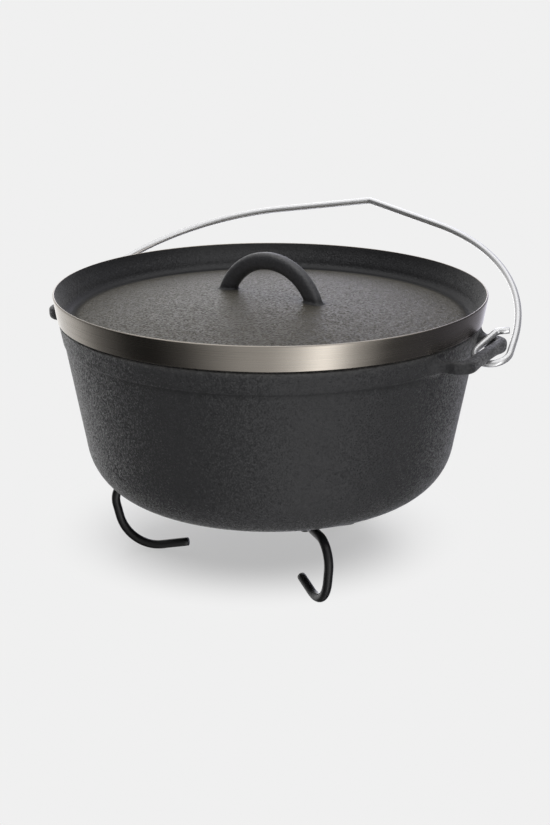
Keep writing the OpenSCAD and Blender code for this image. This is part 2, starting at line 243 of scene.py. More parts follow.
def skin(grid, v=None, wear=0.0, tone=1.0, slots=None, ring=False):
    """A closed skin over a grid of points: columns close round, and rows end in one point
    at each pole, or close round as well where ring is set. Returns its parts as arrays."""
    rows, cols = grid.shape[:2]
    v = np.linspace(0, 1, rows) if v is None else v
    marks = np.stack([np.broadcast_to(m, (rows, cols)) for m in (wear, tone)], -1)
    slots = np.zeros(rows, int) if slots is None else slots
    j = np.arange(cols)
    k = (j + 1) % cols
    u0, u1 = j / cols, (j + 1) / cols
    first = 0 if ring else 1

    def at(row, col):
        """Number of the point in a row and column."""
        return first + row * cols + col

    if ring:
        co, marks = grid.reshape(-1, 3), marks.reshape(-1, 2)
        i = np.arange(rows)[:, None]
        n = (i + 1) % rows
        v0, v1 = v, np.r_[v[1:], 2 * v[-1] - v[-2]]
    else:
        co = np.vstack([grid[:1, 0], grid[1:-1].reshape(-1, 3), grid[-1:, 0]])
        marks = np.vstack([marks[:1, 0], marks[1:-1].reshape(-1, 2), marks[-1:, 0]])
        i = np.arange(rows - 3)[:, None]
        n = i + 1
        v0, v1 = v[1:-2], v[2:-1]
    quads = np.stack(np.broadcast_arrays(at(i, j), at(i, k), at(n, k), at(n, j)), -1)
    quads = quads.reshape(-1, 4)
    u = np.stack(np.broadcast_arrays(u0, u1, u1, u0), -1)[None]
    w = np.stack([v0, v0, v1, v1], -1)[:, None]
    quv = np.stack(np.broadcast_arrays(u, w), -1).reshape(-1, 4, 2)
    qslot = np.repeat(slots if ring else slots[1:rows - 2], cols)
    tris, tuv, tslot = np.zeros((0, 3), int), np.zeros((0, 3, 2)), np.zeros(0, int)
    if not ring:
        last = len(co) - 1
        top = np.stack([np.zeros(cols, int), at(0, k), at(0, j)], -1)
        end = np.stack([np.full(cols, last), at(rows - 3, j), at(rows - 3, k)], -1)
        mid = (u0 + u1) / 2
        tuv = np.concatenate([
            np.stack([np.stack([mid, u1, u0], -1),
                      np.broadcast_to([v[0], v[1], v[1]], (cols, 3))], -1),
            np.stack([np.stack([mid, u0, u1], -1),
                      np.broadcast_to([v[-1], v[-2], v[-2]], (cols, 3))], -1)])
        tris = np.concatenate([top, end])
        tslot = np.r_[np.full(cols, slots[0]), np.full(cols, slots[rows - 2])]
    corners = np.concatenate([tris, quads[:, [0, 1, 2]], quads[:, [0, 2, 3]]])
    a, b, c = co[corners[:, 0]], co[corners[:, 1]], co[corners[:, 2]]
    if (a * np.cross(b, c)).sum() < 0:
        tris, tuv, quads, quv = tris[:, ::-1], tuv[:, ::-1], quads[:, ::-1], quv[:, ::-1]
    return {"co": co, "marks": marks, "tris": tris, "tuv": tuv, "tslot": tslot,
            "quads": quads, "quv": quv, "qslot": qslot}


def put(name, skins, materials):
    """One object at the origin from closed skins, with a UV map along them, attributes for wear and
    for tone, which is painted light and shade, and a material slot for each face."""
    def all_of(part):
        """One part of all skins, end to end."""
        return np.concatenate([s[part] for s in skins])

    starts = np.cumsum([0] + [len(s["co"]) for s in skins])
    co = all_of("co")
    tris = np.vstack([s["tris"] + n for s, n in zip(skins, starts)])
    quads = np.vstack([s["quads"] + n for s, n in zip(skins, starts)])
    loops = np.r_[tris.ravel(), quads.ravel()]
    uv = np.r_[all_of("tuv").ravel(), all_of("quv").ravel()]
    slot = np.r_[all_of("tslot"), all_of("qslot")]
    begin = np.r_[np.arange(len(tris)) * 3, len(tris) * 3 + np.arange(len(quads)) * 4]
    mesh = bpy.data.meshes.new(name)
    mesh.vertices.add(len(co))
    mesh.vertices.foreach_set("co", co.ravel().astype(np.float32))
    mesh.loops.add(len(loops))
    mesh.loops.foreach_set("vertex_index", loops.astype(np.int32))
    mesh.polygons.add(len(begin))
    mesh.polygons.foreach_set("loop_start", begin.astype(np.int32))
    for material in materials:
        mesh.materials.append(material)
    mesh.polygons.foreach_set("material_index", slot.astype(np.int32))
    mesh.polygons.foreach_set("use_smooth", np.ones(len(begin), bool))
    mesh.update(calc_edges=True)
    mesh.uv_layers.new(name="surface").data.foreach_set("uv", uv.astype(np.float32))
    marks = all_of("marks").astype(np.float32)
    for k, mark in enumerate(("wear", "tone")):
        values = np.ascontiguousarray(marks[:, k])
        mesh.attributes.new(mark, "FLOAT", "POINT").data.foreach_set("value", values)
    if mesh.validate():
        raise RuntimeError(name + " has bad faces")
    obj = bpy.data.objects.new(name, mesh)
    bpy.context.scene.collection.objects.link(obj)
    return obj


def lathe(profile, count):
    """A profile (r, z) carried round Z: (r cos a, r sin a, z)."""
    t = np.linspace(0, 2 * np.pi, count, endpoint=False)
    r, z = profile[:, :1], profile[:, 1:]
    return np.stack(np.broadcast_arrays(r * np.cos(t), r * np.sin(t), z), -1)


def squircle(half_w, half_h, power, count):
    """A closed rounded section |x/w|^n + |y/h|^n = 1 and its outward directions."""
    t = np.linspace(0, 2 * np.pi, count, endpoint=False)
    c, s = np.cos(t), np.sin(t)
    x = half_w * np.sign(c) * np.abs(c) ** (2 / power)
    y = half_h * np.sign(s) * np.abs(s) ** (2 / power)
    nx = np.sign(c) * np.abs(c) ** (2 - 2 / power) / half_w
    ny = np.sign(s) * np.abs(s) ** (2 - 2 / power) / half_h
    n = np.hypot(nx, ny)
    return np.column_stack([x, y]), np.column_stack([nx / n, ny / n])


def fillet(distance, radius):
    """How far a bar swells where it nears a surface, so that a round of that radius
    joins them: R - sqrt(R^2 - (R - d)^2). Inside, it goes on flat just under the surface."""
    d = np.clip(distance, 0, radius)
    under = np.clip(-distance, 0, 0.0004)
    return radius - np.sqrt(np.maximum(radius ** 2 - (radius - d) ** 2, 0)) + 8 * under


def flare(points, push, radius, near):
    """Points of a bar moved out by fillet(d, R) along the surface that it meets, each kept at
    its own distance d from it. near(points) gives d and the surface's normal there."""
    gap, face = near(points)
    push = push - (push * face).sum(-1, keepdims=True) * face
    push = push / np.maximum(np.linalg.norm(push, axis=-1, keepdims=True), 1e-9)
    moved = points + fillet(gap, radius)[..., None] * push
    now, face = near(moved)
    return moved - (now - gap)[..., None] * face


def about_x(turn):
    """Matrix that turns rows of points about X by an angle in radians."""
    c, s = math.cos(turn), math.sin(turn)
    return np.array([[1, 0, 0], [0, c, s], [0, -s, c]])


def about_z(turn):
    """Matrix that turns rows of points about Z by an angle in radians."""
    c, s = math.cos(turn), math.sin(turn)
    return np.array([[c, s, 0], [-s, c, 0], [0, 0, 1]])


def turned(points, turn):
    """Points turned about Z by an angle in radians."""
    return points @ about_z(turn)


def capped(grid):
    """A grid of points with one more row at each end, drawn together in the row's middle."""
    ends = np.broadcast_to(grid[[0, -1]].mean(1, keepdims=True), (2, grid.shape[1], 3))
    return np.vstack([ends[:1], grid, ends[1:]])


def bend_wire(rows, step):
    """Middle line of a bent wire from rows of feed, roll, bend radius and bend angle.
    It starts along +X with +Y on its left; a feed runs straight, a roll turns the wire
    about itself, and a bend turns to its left. Returns points and directions."""
    point, axes = np.zeros(3), np.eye(3)
    points, heads = [point[None]], [axes[:1]]
    for feed, roll, radius, bend in rows:
        if feed > 0:
            s = np.linspace(0, feed, max(2, int(feed / step)))[1:, None]
            points.append(point + s * axes[0])
            heads.append(np.repeat(axes[:1], len(s), 0))
            point = points[-1][-1]
        axes = about_x(roll) @ axes
        if bend > 0:
            t = np.linspace(0, bend, max(8, int(bend * radius / step)))[1:, None]
            centre = point + radius * axes[1]
            points.append(centre + radius * (np.sin(t) * axes[0] - np.cos(t) * axes[1]))
            heads.append(np.cos(t) * axes[0] + np.sin(t) * axes[1])
            point = points[-1][-1]
            axes = about_z(bend) @ axes
    return np.vstack(points), np.vstack(heads)


def carry(heads, side):
    """Two directions across a path: side made square to it, and the one square to both."""
    side = side - (side * heads).sum(1, keepdims=True) * heads
    side /= np.linalg.norm(side, axis=1, keepdims=True)
    return side, np.cross(heads, side)


def wire_skin(points, heads, side, radius, count=28, chamfer=0.0006):
    """A round section carried along a path: p + r (cos a * side + sin a * up). Each cut
    end is flat, with a narrow chamfer."""
    across, up = carry(heads, side)
    t = np.linspace(0, 2 * np.pi, count, endpoint=False)
    ring = np.cos(t)[:, None] * across[:, None] + np.sin(t)[:, None] * up[:, None]
    body = points[:, None] + radius * ring
    gap = chamfer * np.array([0, 0, 0.25, 0.6])
    reach = radius - chamfer * np.array([radius / chamfer, 1, 0.5, 0.15])
    head = points[0] + heads[0] * gap[:, None, None] + reach[:, None, None] * ring[0]
    tail = points[-1] - heads[-1] * gap[:, None, None] + reach[:, None, None] * ring[-1]
    grid = np.vstack([head, body[2:-2], tail[::-1]])
    v = run_of(grid.mean(1))
    wear = np.zeros(len(grid))
    wear[[1, 2, -2, -3]] = 1.0
    return skin(grid, v=v, wear=wear[:, None])


# Finishes

class Tree:
    """The nodes of a new material or world, with short ways to add and join them."""

    def __init__(self, owner):
        owner.use_nodes = True
        self.owner = owner
        self.tree = owner.node_tree
        self.tree.nodes.clear()
        self.coordinates = self.add("ShaderNodeTexCoord").outputs
        self.place = self.coordinates["Object"]

    def add(self, kind, inputs=None, **settings):
        """A node with its settings; an input takes a value, or a socket to join."""
        node = self.tree.nodes.new(kind)
        for key, value in settings.items():
            setattr(node, key, value)
        for key, value in (inputs or {}).items():
            if isinstance(value, bpy.types.NodeSocket):
                self.tree.links.new(value, node.inputs[key])
            else:
                node.inputs[key].default_value = value
        return node

    def noise(self, size, detail=2.0, rough=0.5, place=None):
        """Soft noise whose grains are about size metres across."""
        return self.add("ShaderNodeTexNoise", {
            "Vector": place or self.place, "Scale": 1 / size, "Detail": detail,
            "Roughness": rough}).outputs["Fac"]

    def stretch(self, place, scale):
        """Coordinates drawn together by a factor along each axis."""
        return self.add("ShaderNodeMapping", {"Vector": place, "Scale": scale}).outputs[0]

    def scatter(self, size):
        """Outputs of cells round scattered points about size metres apart."""
        return self.add("ShaderNodeTexVoronoi", {
            "Vector": self.place, "Scale": 1 / size}, feature="F1").outputs

    def cells(self, size):
        """Distance to the nearest of scattered points about size metres apart."""
        return self.scatter(size)["Distance"]

    def vector(self, operation, *values):
        """One sum on vectors."""
        return self.add("ShaderNodeVectorMath", dict(enumerate(values)),
                        operation=operation).outputs[0]

    def scale(self, vector, factor):
        """A vector or colour made longer or lighter by a factor."""
        return self.add("ShaderNodeVectorMath", {0: vector, "Scale": factor},
                        operation="SCALE").outputs[0]

    def facets(self, size, tilt):
        """The surface's own direction, tipped at random over grains size metres apart."""
        lean = self.vector("SUBTRACT", self.scatter(size)["Color"], (0.5, 0.5, 0.5))
        face = self.add("ShaderNodeNewGeometry").outputs["Normal"]
        return self.vector("NORMALIZE", self.vector("ADD", face, self.scale(lean, tilt)))

    def fit(self, value, low, high, to_low=0.0, to_high=1.0, curve="LINEAR"):
        """The value's range low..high drawn out to another range, straight or smoothed."""
        return self.add("ShaderNodeMapRange", {
            "Value": value, "From Min": low, "From Max": high,
            "To Min": to_low, "To Max": to_high}, interpolation_type=curve).outputs["Result"]

    def maths(self, operation, a, b):
        """One sum on two values."""
        return self.add("ShaderNodeMath", {0: a, 1: b}, operation=operation).outputs[0]

    def blend(self, parts):
        """Values added up, each by its weight."""
        total = None
        for value, weight in parts:
            part = self.maths("MULTIPLY", value, weight)
            total = part if total is None else self.maths("ADD", total, part)
        return total

    def mix(self, share, a, b):
        """Two colours mixed by share."""
        return self.add("ShaderNodeMix", {0: share, 6: a, 7: b}, data_type="RGBA").outputs[2]

    def mark(self, name):
        """A mark of the mesh's points: wear, or tone, which is painted light and shade."""
        return self.add("ShaderNodeAttribute", attribute_name=name).outputs["Fac"]

    def relief(self, height, strength, depth, **inputs):
        """The direction of a surface with a relief of that depth in metres."""
        return self.add("ShaderNodeBump", {"Strength": strength, "Distance": depth,
                                           "Height": height, **inputs}).outputs["Normal"]

    def metal(self, inputs):
        """A principled surface joined to the material's output; returns the material."""
        return self.finish(self.add("ShaderNodeBsdfPrincipled", inputs).outputs["BSDF"])

    def finish(self, surface, output="ShaderNodeOutputMaterial"):
        """Joins the surface to the output, and returns the material or world."""
        self.add(output, {"Surface": surface})
        return self.owner


def new_finish(name):
    """The nodes of a new material."""
    return Tree(bpy.data.materials.new(name))


def tint(colour, factor):
    """A colour made lighter or darker, with its alpha."""
    return (*[min(1.0, c * factor) for c in colour], 1.0)


def cast_iron(name, colour, worn, grain, relief, hollows, rough, tilt, mirror=0.5, haze=0.18):
    """Sand-cast iron under a thin seasoning: grains tipped every way, finer grit, lumps and a
    few pits in the relief, dark hollows and faint blotches in the colour, and rubbed edges.
    The tone mark scales the colour and the gloss: painted shade below 1, as in the lid's corner,
    which is smoother too, and painted light above 1."""
    t = new_finish(name)
    tone, rubbed = t.mark("tone"), t.mark("wear")
    grains = t.fit(t.cells(grain * 1.5), 0.12, 0.72, 1.0, 0.0)
    grit = t.noise(grain * 0.7, detail=2.0, rough=0.6)
    lumps = t.noise(grain * 2.0, detail=2.0, rough=0.6)
    swell = t.noise(grain * 30, detail=1.0)
    few = t.fit(t.noise(grain * 9, detail=1.0), 0.44, 0.50)
    pits = t.maths("MAXIMUM", t.fit(t.cells(grain * 5), 0.05, 0.16), few)
    height = t.blend([(grains, 0.40), (grit, 0.70), (lumps, 0.20), (pits, 0.25), (swell, 0.4)])
    faces = t.facets(grain, t.fit(tone, 0.55, 1.0, 0.25 * tilt, tilt))
    bump = t.relief(height, t.fit(tone, 0.55, 1.0, 0.25 * relief, relief), 0.001, Normal=faces)
    blotch = t.fit(t.noise(0.03, detail=3.0, rough=0.6), 0.3, 0.7)
    hollow = t.maths("MULTIPLY", t.fit(lumps, 0.34, 0.62), t.fit(grit, 0.3, 0.65, 0.4, 1.0))
    shade = t.mix(hollow, tint(colour, hollows), tint(colour, 2.0 - hollows))
    shade = t.mix(pits, tint(colour, 0.40), shade)
    shade = t.mix(t.fit(blotch, 0.0, 1.0, 0.0, 0.25), shade, tint(colour, 1.1))
    patchy = t.fit(t.noise(grain * 3, detail=3.0), 0.35, 0.65, 0.35, 1.0)
    rubbed = t.maths("MULTIPLY", rubbed, patchy)
    # The tone paints light and shade into the colour here
    shade = t.mix(rubbed, t.scale(shade, tone), (*worn, 1.0))
    gloss = t.fit(grit, 0.3, 0.7, rough - 0.08, rough + 0.08)
    gloss = t.maths("SUBTRACT", gloss, t.maths("MULTIPLY", rubbed, 0.12))
    return t.metal({
        "Base Color": shade, "Roughness": gloss, "IOR": 1.5, "Sheen Weight": haze,
        "Sheen Roughness": 0.4, "Specular IOR Level": t.fit(tone, 0.2, 1.0, 0.16 * mirror, mirror),
        "Normal": bump})


def machined_iron(name, colour):
    """Turned iron: fine rings from the tool all round, which draw each reflection out
    across them, and a faint chatter in the colour."""
    t = new_finish(name)
    fine = t.noise(1.0, detail=3.0, rough=0.7, place=t.stretch(t.place, (6.0, 6.0, 1600.0)))
    wide = t.noise(1.0, detail=2.0, rough=0.6, place=t.stretch(t.place, (9.0, 9.0, 420.0)))
    tangent = t.add("ShaderNodeTangent", direction_type="UV_MAP", uv_map="surface")
    return t.metal({
        "Base Color": t.mix(t.fit(wide, 0.3, 0.7), tint(colour, 0.96), tint(colour, 1.03)),
        "Metallic": 1.0, "Roughness": t.fit(fine, 0.3, 0.7, 0.22, 0.30),
        "Anisotropic": 0.6, "Anisotropic Rotation": 0.25,
        "Normal": t.relief(t.blend([(fine, 0.6), (wide, 0.5)]), 0.06, 0.0002),
        "Tangent": tangent.outputs["Tangent"]})


def bright_wire(name, colour):
    """Drawn steel wire, brightly plated: hair lines along the wire and a soft, pale gloss."""
    t = new_finish(name)
    along = t.add("ShaderNodeUVMap", uv_map="surface").outputs["UV"]
    lines = t.noise(1.0, detail=3.0, rough=0.6, place=t.stretch(along, (42.0, 9.0, 1.0)))
    return t.metal({
        "Base Color": t.mix(t.fit(lines, 0.3, 0.7), tint(colour, 0.93), tint(colour, 1.0)),
        "Metallic": 0.75, "Roughness": t.fit(t.noise(0.004, detail=2.0), 0.3, 0.7, 0.22, 0.28),
        "Normal": t.relief(lines, 0.05, 0.0002)})


def black_coat(name, colour):
    """A black baked coat on wire: a fine orange peel, satin, paler on its cut edges."""
    t = new_finish(name)
    patches = t.fit(t.noise(0.006, detail=2.0), 0.3, 0.7)
    shade = t.mix(patches, tint(colour, 0.8), tint(colour, 1.25))
    shade = t.mix(t.maths("MULTIPLY", t.mark("wear"), 0.6), shade, tint(colour, 4.0))
    return t.metal({
        "Base Color": shade, "Roughness": t.fit(t.noise(0.003, detail=2.0), 0.3, 0.7, 0.34, 0.44),
        "IOR": 1.5, "Normal": t.relief(t.noise(0.0009, detail=2.0, rough=0.5), 0.12, 0.0003)})


# Pieces

def wall_at(s, radius, z):
    """Radius of a wall line at a height over the base: it grows by the slope's tangent."""
    return radius + math.tan(s.draft) * (z - s.height)


def pot_profile(s):
    """Half section of the pot from the axis under its base, round the lip, to the axis on its
    floor, and the wear and tone of each of its points. The tone is painted shade, dark under the
    band's step."""
    steep = 1 / math.cos(s.draft)
    outer = s.radius + s.step
    lip_in = outer - s.lip
    mouth = lip_in - s.ledge
    ledge_z = s.height - s.ledge_drop
    low = wall_at(s, s.radius, s.corner) - s.corner * steep
    inside = s.radius - s.wall * steep
    small = s.corner - s.wall
    low_in = wall_at(s, inside, s.base + small) - small * steep
    band_z = s.height - s.band
    bottom = arc((low, s.corner), s.corner, -np.pi / 2, -s.draft, 40)
    hollow = arc((low_in, s.base + small), small, -s.draft, -np.pi / 2, 36)
    edge, rubbed, shade_width = 0.0007, 0.0009, 0.0011
    sides = soften([
        bottom[-1],
        (wall_at(s, s.radius, band_z - 2 * s.step), band_z - 2 * s.step),
        (wall_at(s, outer, band_z), band_z),
        (outer, s.height - edge),
        (outer - edge, s.height),
        (lip_in, s.height),
        (lip_in, ledge_z),
        (mouth, ledge_z),
        (mouth, s.height + (mouth - inside) / math.tan(s.draft)),
        hollow[0],
    ], [0.0015, 0.0009, 0.0006, 0.0005, 0.0004, 0.0003, 0.0008, 0.003])
    path = np.vstack([[(0, 0)], spread([(low * 0.04, 0), (low, 0)], 0.004), bottom, sides, hollow,
                      spread([(low_in, s.base), (low_in * 0.04, s.base)], 0.005), [(0, s.base)]])
    path = spread(path, 0.0035)
    edges = np.array([(outer - edge / 2, s.height - edge / 2), (lip_in, s.height),
                      (mouth, ledge_z)])
    gap = np.linalg.norm(path[:, None] - edges, axis=2)
    wear = (np.array([0.55, 0.5, 0.4]) * np.exp(-(gap / rubbed) ** 2)).max(1)
    # Painted shade: the tone drops to half in a narrow line just under the band's step
    under_band = (wall_at(s, s.radius, band_z), band_z - 1.2 * s.step)
    gap = np.linalg.norm(path - under_band, axis=1)
    return path, wear, 1 - 0.5 * np.exp(-(gap / shade_width) ** 2)


def ear_grid(s):
    """One ear on the +X side: a rounded bar carried along a U, deeper at its corners. Near the
    wall each point moves out from the bar by fillet(d, R), d being its distance to the sloping
    wall, and no point goes deeper into the wall than sunk."""
    sunk, under_lip = 0.0015, 0.0008
    deep_from, deep_over = 0.010, 0.018
    inner_root, upper_root, lower_root = 0.45 * s.ear_root, 0.004, 0.006
    reach = s.ear_reach - s.ear_bar / 2
    arm = (s.ear_width - s.ear_bar) / 2
    bend = s.ear_corner - s.ear_bar / 2
    side = s.ear_width / 2 + s.ear_root
    root = math.sqrt((s.radius - 0.001) ** 2 - side ** 2) - 0.002
    path = soften([(root, arm), (reach, arm), (reach, -arm), (root, -arm)], [bend, bend], count=16)
    path = spread(path, 0.00012)
    row = np.arange(len(path))
    keep = ((path[:, 0] < root + 0.008) | (row % 3 == 0))
    path = path[keep & ((path[:, 0] < root + 0.02) | (row % 12 == 0))]
    head = np.gradient(path, axis=0)
    head /= np.linalg.norm(head, axis=1, keepdims=True)
    out = np.column_stack([-head[:, 1], head[:, 0]])
    section, normal = squircle(s.ear_bar / 2, s.ear_bar_height / 2, 3.0, 44)
    middle = s.height - s.ear_drop - s.ear_bar_height / 2
    xy = path[:, None] + section[:, 0][:, None] * out[:, None]
    z = np.broadcast_to(middle + section[:, 1], xy.shape[:2])
    deep = np.clip((np.abs(path[:, 1]) - deep_from) / deep_over, 0, 1)
    deep = s.ear_deep * (deep ** 2 * (3 - 2 * deep))[:, None]
    z = z + deep * np.clip(2 * section[:, 1] / s.ear_bar_height, -1, 0)
    c, up = normal[:, :1], normal[:, 1:]
    push = np.concatenate([c * out[:, None], np.broadcast_to(up, xy.shape[:2] + (1,))], 2)

    def near(p):
        """Distance to the sloping wall and its band, and the wall's direction."""
        r = np.linalg.norm(p[..., :2], axis=-1)
        band = np.clip((p[..., 2] - s.height + s.band) / (2 * s.step) + 1, 0, 1)
        gap = (r - wall_at(s, s.radius, p[..., 2]) - s.step * band) * math.cos(s.draft)
        face = np.concatenate([p[..., :2] / r[..., None] * math.cos(s.draft),
                               np.full(r.shape + (1,), -math.sin(s.draft))], -1)
        return gap, face

    c, up = c[:, 0], up[:, 0]
    root_r = (s.ear_root * np.clip(c, 0, 1) ** 2 + inner_root * np.clip(-c, 0, 1) ** 2
              + upper_root * np.clip(up, 0, 1) ** 2 + lower_root * np.clip(-up, 0, 1) ** 2)
    grid = flare(np.concatenate([xy, z[..., None]], 2), push, root_r, near)
    gap, face = near(grid)
    grid = grid - np.clip(gap + sunk, None, 0)[..., None] * face
    grid[..., 2] = np.minimum(grid[..., 2], s.height - under_lip)
    wear = 0.30 * np.clip(1.6 * np.abs(c * up), 0, 1) ** 3 * np.clip(up, 0, 1)
    return capped(grid), wear[None]


def pad_grid(s):
    """A pad beside a leg's arm: a rounded outline carried down from the base, swelling into
    the base by a fillet and drawn in round its foot."""
    root, edge, sunk, draft = 0.003, 0.0015, 0.0012, 0.035
    outline, normal = squircle(s.pad_depth / 2, s.pad_width / 2, 4.5, 48)
    curve = np.linspace(0, root, 7)
    side = np.linspace(root + curve[1], s.pad_height - edge, 6)
    deep = np.r_[-sunk, curve, side]
    grow = fillet(deep, root) - draft * np.clip(deep, 0, None)
    t = np.linspace(0, np.pi / 2, 7)[1:]
    deep = np.r_[deep, s.pad_height - edge + edge * np.sin(t)]
    grow = np.r_[grow, grow[-1] - edge * (1 - np.cos(t))]
    xy = outline + grow[:, None, None] * normal
    xy = np.vstack([np.zeros((1,) + xy.shape[1:]), xy, np.zeros((1,) + xy.shape[1:])])
    deep = np.r_[deep[0], deep, deep[-1]]
    place = (s.pad_reach - s.pad_depth / 2, s.pad_off + s.pad_width / 2)
    z = np.broadcast_to(-deep[:, None, None], xy.shape[:2] + (1,))
    return np.concatenate([xy + place, z], 2)


def lug_grid(s):
    """A lug round a leg's arm: a D section along the arm, in at the end face, back through
    the bore and out again, so that the skin is a closed ring."""
    root, edge, sunk = 0.002, 0.0008, 0.0012
    t = np.linspace(0, 2 * np.pi, 48, endpoint=False)
    c, sn = np.cos(t), np.sin(t)
    upper = sn > 0
    y = s.lug * np.where(upper, np.sign(c) * np.abs(c) ** 0.3, c)
    z = np.where(upper, (s.arm_drop + sunk) * np.abs(sn) ** 0.3, s.lug * sn)
    y = y + np.sign(c) * fillet(s.arm_drop - z, root) * (z > -s.lug / 3)
    outer = np.column_stack([y, z])
    bore = s.bore * np.column_stack([c, sn])
    far = s.lug_length
    x = np.r_[np.linspace(edge, far - edge, 9), far - 0.3 * edge, far, far, far,
              np.linspace(far, 0, 8)[1:-1], 0, 0, 0, 0.3 * edge]
    share = np.r_[np.ones(9), 0.93, 0.75, 0.3, 0, np.zeros(6), 0, 0.3, 0.75, 0.93]
    yz = bore + share[:, None, None] * (outer - bore)
    xs = np.broadcast_to((s.lug_from + x)[:, None, None], yz.shape[:2] + (1,))
    grid = np.concatenate([xs, yz], 2)
    grid[..., 2] -= s.arm_drop
    return grid


class OVEN_OT_cast_pot(bpy.types.Operator):
    """Casts the pot: its turned wall, two ears, three lugs and three pads in one piece"""
    bl_idname = "oven.cast_pot"
    bl_label = "Cast the pot"

    def execute(self, context):
        s, f = context.scene.oven_pot, context.scene.oven_finish
        lift = np.array([0, 0, s.arm_z + s.arm_drop])
        path, wear, tone = pot_profile(s)
        skins = [skin(lathe(path, 256) + lift, v=run_of(path), wear=wear[:, None],
                      tone=tone[:, None])]
        ear, rubbed = ear_grid(s)
        for turn in (0, np.pi):
            skins.append(skin(turned(ear, turn) + lift, wear=rubbed))
        pad, lug = pad_grid(s), lug_grid(s)
        for turn in s.leg_first + np.arange(3) * 2 * np.pi / 3:
            skins.append(skin(turned(pad, turn) + lift))
            skins.append(skin(turned(lug, turn) + lift, ring=True))
        iron = cast_iron("seasoned_iron", f.iron, f.iron_worn, grain=0.0010, relief=0.35,
                         hollows=1.0, rough=0.46, tilt=0.50, haze=0.27)
        pot = put("pot_casting", skins, [iron])
        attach(pot, "pot")
        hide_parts("pot")
        return {"FINISHED"}


# The lid's material slots
LID_IRON, MACHINED, DARK_IRON = 0, 1, 2


def lid_profile(s):
    """Half section of the lid, from the axis on its crown, over the dome and the cove, round the
    rim, under the band and the plug, to the axis below. Returns points, slots and tone; the tone is
    painted light and shade on the upper side."""
    low_z = -s.band
    crown = low_z + s.dome
    ball = (s.groove ** 2 + s.dome ** 2) / (2 * s.dome)
    centre = (0.0, crown - ball)
    edge = 0.0006
    start = math.asin(s.groove / ball)
    top = arc(centre, ball, np.pi / 2, np.pi / 2 - start, 60)
    cove = arc((s.groove, low_z + s.cove), s.cove, -np.pi / 2, -0.12, 14)
    under = ball - s.floor
    below = arc(centre, under, np.pi / 2 - math.asin(s.plug_inner / under), np.pi / 2, 40)
    rim = soften([
        cove[-1],
        (s.radius - s.land, 0),
        (s.radius - edge, 0),
        (s.radius, -edge),
        (s.radius - s.taper, low_z + 0.0005),
        (s.radius - s.taper - 0.0005, low_z),
        (s.plug, low_z),
        (s.plug, -s.seat + 0.0008),
        (s.plug - 0.0008, -s.seat),
        (s.plug_inner, -s.seat),
        below[0],
    ], [0.0005, 0.0006, 0.0008, 0.0004, 0.0004, 0.0003, 0.0004, 0.0004, 0.0004])
    path = spread(np.vstack([top, cove, rim, below]), 0.0035)
    z, r = path[:, 1], path[:, 0]
    row = np.arange(len(path))
    crest = np.argmax(r)
    band = (row >= np.argmax(z > -0.0009)) & (z > low_z - 0.0002) & (r > s.plug + 0.001)
    wall = (row < crest) & (r > s.groove - 0.004) & ~band
    slots = np.where(wall, DARK_IRON, np.where(band, MACHINED, LID_IRON))
    # The tone is painted light and shade: dark in the groove and on the floor beside it, lighter
    # partway up the rim's inner wall, darker again from there to the rim's top; the underside keeps
    # 1
    run = run_of(path)
    past_groove = run - run[np.argmax(r > s.groove)]
    tone = np.interp(past_groove, [-0.0065, -0.0040, -0.0015, 0.0020, 0.0065, 0.011, 0.022],
                     [1.0, 0.30, 0.25, 0.40, 1.0, 1.25, 0.62])
    return path, slots, np.where(row < crest, tone, 1.0)


def grip_grid(s):
    """The lid's handle: a rounded bar carried along an arch, its feet swelling into the domed
    floor by fillet(d, R), d being the distance to the dome, and cut level inside the floor."""
    crown = s.dome - s.band
    ball = (s.groove ** 2 + s.dome ** 2) / (2 * s.dome)
    centre_z = s.grip_rise - s.grip_radius - s.grip_thick / 2
    t = np.linspace(math.radians(8), math.radians(172), 260)[:, None]
    section, normal = squircle(s.grip_thick / 2, s.grip_width / 2, 2.8, 52)
    d = s.grip_radius + section[:, 0]
    x, z = d * np.cos(t), centre_z + d * np.sin(t)
    y = np.broadcast_to(section[:, 1], x.shape)
    push = np.stack(np.broadcast_arrays(normal[:, 0] * np.cos(t), normal[:, 1],
                                        normal[:, 0] * np.sin(t)), -1)

    def near(p):
        """Distance to the dome, and the dome's direction."""
        from_middle = p - [0, 0, crown - ball]
        far = np.linalg.norm(from_middle, axis=-1)
        return far - ball, from_middle / far[..., None]

    grid = flare(np.stack([x, y, z], -1), push, s.grip_root, near)
    grid[..., 2] = np.maximum(grid[..., 2], crown - s.floor)
    corner = np.clip(1.7 * np.abs(normal[:, 0] * normal[:, 1]), 0, 1) ** 3
    wear = corner * np.where(normal[:, 0] > 0, 0.55, 0.2) * np.clip(np.sin(t), 0, 1) ** 2
    return capped(grid), np.vstack([wear[:1], wear, wear[-1:]])


def foot_shade(s, path, count):
    """Painted shade on the lid's floor round the handle's two feet, as a tone of 1 - a exp(-(d /
    w)^2), d being the distance to the nearer foot. The underside keeps a tone of 1."""
    foot, dark, wide = 0.92 * s.grip_radius, 0.8, 0.010
    a = np.linspace(0, 2 * np.pi, count, endpoint=False) - s.turn
    r = path[:, :1]
    gap = np.hypot(np.abs(r * np.cos(a)) - foot, r * np.sin(a))
    upper = (np.arange(len(path)) < np.argmax(path[:, 0]))[:, None]
    return 1 - dark * upper * np.exp(-(gap / wide) ** 2)


